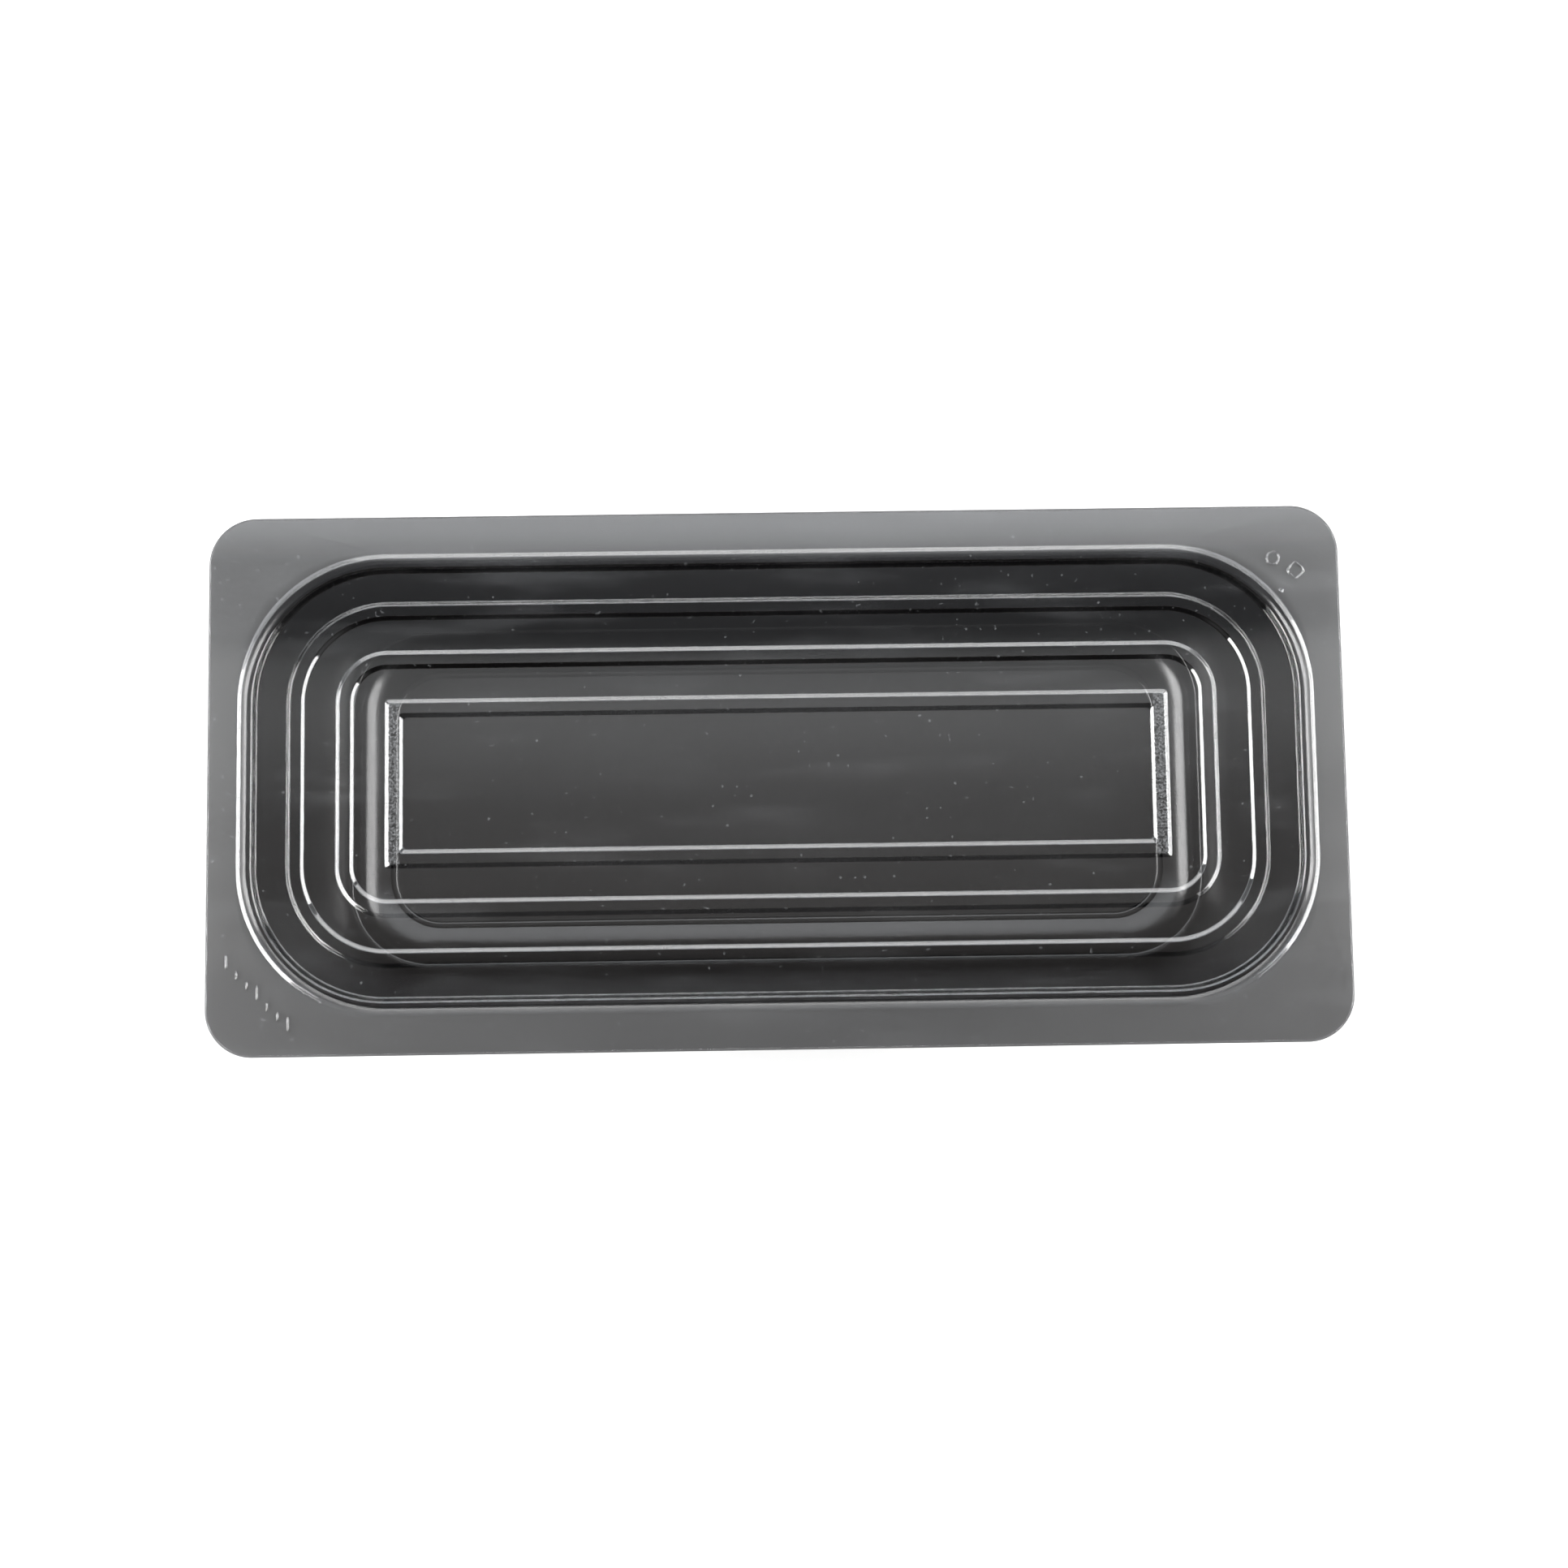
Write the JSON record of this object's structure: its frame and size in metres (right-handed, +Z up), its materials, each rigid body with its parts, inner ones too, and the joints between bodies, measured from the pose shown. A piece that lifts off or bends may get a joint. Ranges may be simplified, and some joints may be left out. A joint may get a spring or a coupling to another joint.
{
  "type": "deli pan with lid",
  "caption": "Deep rectangular plastic food pan with a wide hanging flange, tapered walls and a coved floor, closed by a lift-off lid with concentric ribs.",
  "frame": {"origin": "under the middle of the pan's base, on the surface that it stands on", "axes": "+Z up out of the mouth, +X along the pan's length, Y across it"},
  "size_m": [0.36, 0.17, 0.1214],
  "materials": {
    "pan_plastic": "glossy black formed sheet, greyer and duller on the undrawn flange",
    "lid_plastic": "glossy clear formed sheet with faint haze and wipe marks"
  },
  "bodies": {
    "pan": {"pan": "pan_plastic"},
    "lid": {"lid": "lid_plastic"}
  },
  "joints": [
    {"name": "lid_lift", "type": "slide", "parent": "pan", "child": "lid", "axis": [0, 0, 1], "range_m": [0, 0.12]}
  ]
}
